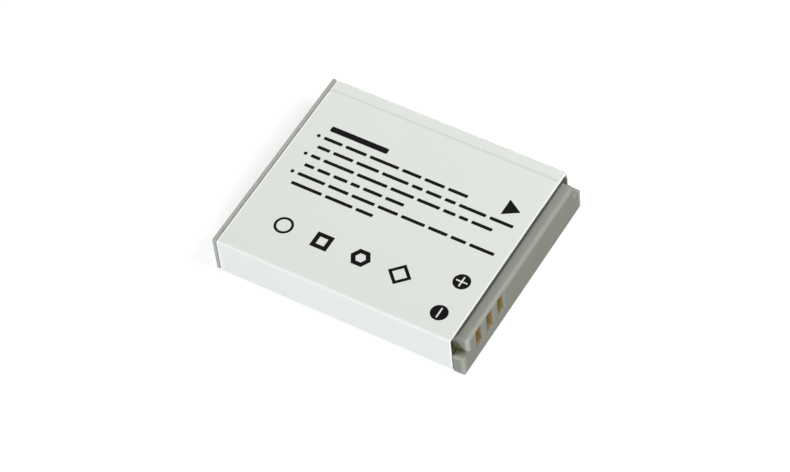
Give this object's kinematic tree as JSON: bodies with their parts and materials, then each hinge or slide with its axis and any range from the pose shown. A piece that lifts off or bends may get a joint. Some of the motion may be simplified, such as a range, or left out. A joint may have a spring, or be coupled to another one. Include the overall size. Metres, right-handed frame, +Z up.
{
  "type": "camera battery",
  "caption": "Flat rectangular rechargeable camera battery: film-wrapped cell, grey end cap, and a stepped grey terminal cap with recessed gold contacts near one side.",
  "frame": {"origin": "centre of the base, the plain face that the pack lies on", "axes": "+X along the length towards the contact face, +Z up towards the printed face, -Y the side that the contacts are nearer to"},
  "size_m": [0.0418, 0.0344, 0.0069],
  "materials": {
    "label_film": "satin",
    "label_ink": "printed",
    "cap_plastic": "moulded, fine satin",
    "end_plastic": "moulded, fine satin",
    "gold_plate": "gold plated",
    "cell_aluminium": "drawn",
    "nickel": "rolled",
    "gasket_plastic": "moulded",
    "insulator_paper": "matte",
    "amber_tape": "glossy",
    "board_laminate": "solder mask",
    "chip_epoxy": "moulded",
    "chip_ceramic": "fired",
    "pad_foam": "matte"
  },
  "bodies": {
    "root": {"label_wrap": "label_film", "terminal_cap": "cap_plastic", "end_cap": "end_plastic", "end_pad": "pad_foam", "contact_negative": "gold_plate", "contact_sense": "gold_plate", "contact_positive": "gold_plate", "cell_can": "cell_aluminium", "rivet_gasket": "gasket_plastic", "cell_rivet": "nickel", "positive_plate": "nickel", "fill_plug": "cell_aluminium", "lid_insulator": "insulator_paper", "thermal_cutoff": "chip_epoxy", "cutoff_tape": "amber_tape", "negative_strip": "nickel", "positive_strip": "nickel", "circuit_board": "board_laminate", "switch_transistor": "chip_epoxy", "protection_chip": "chip_epoxy", "chip_resistors": "chip_ceramic", "chip_capacitors": "chip_ceramic", "thermistor": "chip_ceramic"}
  },
  "joints": []
}
